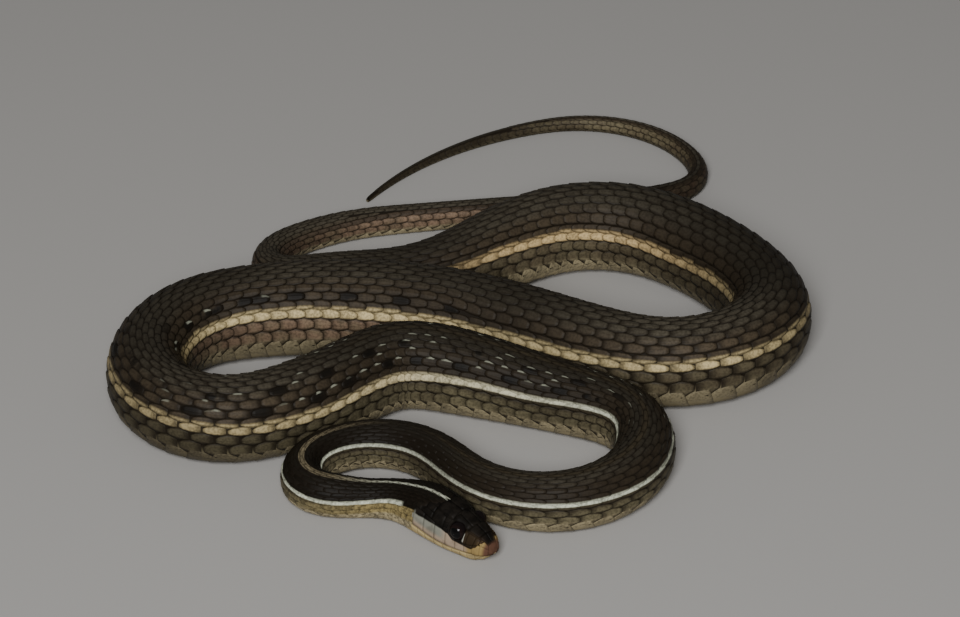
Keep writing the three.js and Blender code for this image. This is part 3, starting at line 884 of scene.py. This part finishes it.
at = between(corner_at) + (bow_front * (p - 1) + bow_rear * p) * (1 - (2 * q - 1) ** 2)
down = side * between(corner_down)
turn = head_turn(at, down)
surface = on_body(at, turn)
eye_gap = np.minimum(*(np.linalg.norm(surface - eye_centre(k), axis=-1) for k in (-1, 1)))
rim = np.maximum(abs(u), abs(v)) == 1
height = smooth(COAT, at) * np.where(rim, -ROOT, -SHIELD_DOME * (u * u + v * v) / 2)
height -= HOLLOW_DEEP * (1 - step(eye_gap, *SHIELD_HOLLOW))


def shield_colour():
    """The head's markings, with painted shade along the seam between shields."""
    u, v, _ = field("cell")
    # Painted shade along the seams, where the overlapping shields leave no groove.
    rim = u.math("ABSOLUTE").math("MAXIMUM", v.math("ABSOLUTE")).rise(0.93, 0.99)
    return (rim * 0.25).over(BLACK, head_colour())


shield_finish = new_material("head shields", shield_colour, 0.5, 0.06, 2500.0, 0.00003)
index = np.arange(len(corners))[:, None, None]
lane_count = len(corners) // SHIELD_LANES + 1
plates("head_shields", shield_finish, at, turn, height, {
    "cell": (u, v),
    "face": (at, abs(down)),
}, ((index % SHIELD_LANES + 0.5 + SHIELD_PATCH * u) / SHIELD_LANES,
    (index // SHIELD_LANES + 0.5 + SHIELD_PATCH * v) / lane_count))

# Eyes: large round glossy balls, whose gloss stands for the clear horny cap, with a dark iris round a black
# pupil. Each sits in its hollow of the skin and looks outwards, a little forward and up.
GAZE_FORWARD, GAZE_UP = 0.22, 0.12
POLE = 0.02  # angle left to the flat face at each pole
PUPIL = rgb(0.003, 0.003, 0.003)
IRIS_INNER = rgb(0.01, 0.0055, 0.005)
IRIS_RIM = rgb(0.006, 0.004, 0.004)
polar = np.linspace(POLE, np.pi - POLE, 33)
azimuth = np.linspace(0, 2 * np.pi, 49)[:-1]


def eye_colour():
    """Black pupil, then dark red brown, almost black at the rim, by the angle from the gaze."""
    angle = field("gaze")[0]
    return angle.rise(0.66, 0.72).over(angle.rise(0.85, 1.2).over(IRIS_RIM, IRIS_INNER), PUPIL)


eye_finish = new_material("eye", eye_colour, 0.06, 0.15)
for name, side in (("left", -1), ("right", 1)):
    way = np.interp(EYE_ALONG, walk, walk_heading)
    ahead = np.array([-np.cos(way), -np.sin(way), 0])
    aside = side * np.array([-np.sin(way), np.cos(way), 0])
    axis = aside + GAZE_FORWARD * ahead + np.array([0, 0, GAZE_UP])
    axis /= np.linalg.norm(axis)
    first = np.cross(axis, [0, 0, 1])
    first /= np.linalg.norm(first)
    second = np.cross(axis, first)
    circle = np.cos(azimuth)[:, None] * first + np.sin(azimuth)[:, None] * second
    ball = np.cos(polar)[:, None, None] * axis + np.sin(polar)[:, None, None] * circle
    faces = closed_tube(len(polar), len(azimuth))
    piece = mesh_of(f"{name}_eye", eye_centre(side) + EYE_RADIUS * ball, faces, {"gaze": (polar[:, None],)})
    piece.data.materials.append(eye_finish)
    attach(piece, "root")
    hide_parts(f"eye_{name}")

# The floor: a plain pale sheet of matt board, wide enough to fill the picture. It is not part
# of the animal.
FLOOR_HALF = 3  # metres
FLOOR_GREY = rgb(0.37, 0.36, 0.345)
floor_corners = [(x * FLOOR_HALF, y * FLOOR_HALF, 0) for x, y in ((-1, -1), (1, -1), (1, 1), (-1, 1))]
floor_mesh = bpy.data.meshes.new("floor")
floor_mesh.from_pydata(floor_corners, [], [(0, 1, 2, 3)])
floor = bpy.data.objects.new("floor", floor_mesh)
bpy.context.scene.collection.objects.link(floor)
floor_paint = bpy.data.materials.new("floor")
floor_paint.use_nodes = True
floor_shader = floor_paint.node_tree.nodes["Principled BSDF"]
floor_shader.inputs["Base Color"].default_value = FLOOR_GREY
floor_shader.inputs["Roughness"].default_value = 0.9
floor.data.materials.append(floor_paint)

# Light: a broad soft lamp just over the camera, which faces the middle of the coil, and a dim
# pale room.
ROOM_WHITE, ROOM_STRENGTH = rgb(1.0, 0.98, 0.95), 0.15
KEY_SIZE, KEY_POWER, KEY_AWAY = 0.35, 10.6, 1.0  # metres and watts
KEY_AROUND, KEY_ELEVATION = np.radians(-6), np.radians(38)
world = bpy.data.worlds.new("room")
world.use_nodes = True
world.node_tree.nodes["Background"].inputs["Color"].default_value = ROOM_WHITE
world.node_tree.nodes["Background"].inputs["Strength"].default_value = ROOM_STRENGTH
bpy.context.scene.world = world

key = bpy.data.objects.new("key", bpy.data.lights.new("key", "AREA"))
key.data.size, key.data.energy = KEY_SIZE, KEY_POWER
key.location = KEY_AWAY * np.array([np.sin(KEY_AROUND) * np.cos(KEY_ELEVATION),
                                    -np.cos(KEY_AROUND) * np.cos(KEY_ELEVATION), np.sin(KEY_ELEVATION)])
key.rotation_euler = (np.pi / 2 - KEY_ELEVATION, 0, KEY_AROUND)
bpy.context.scene.collection.objects.link(key)
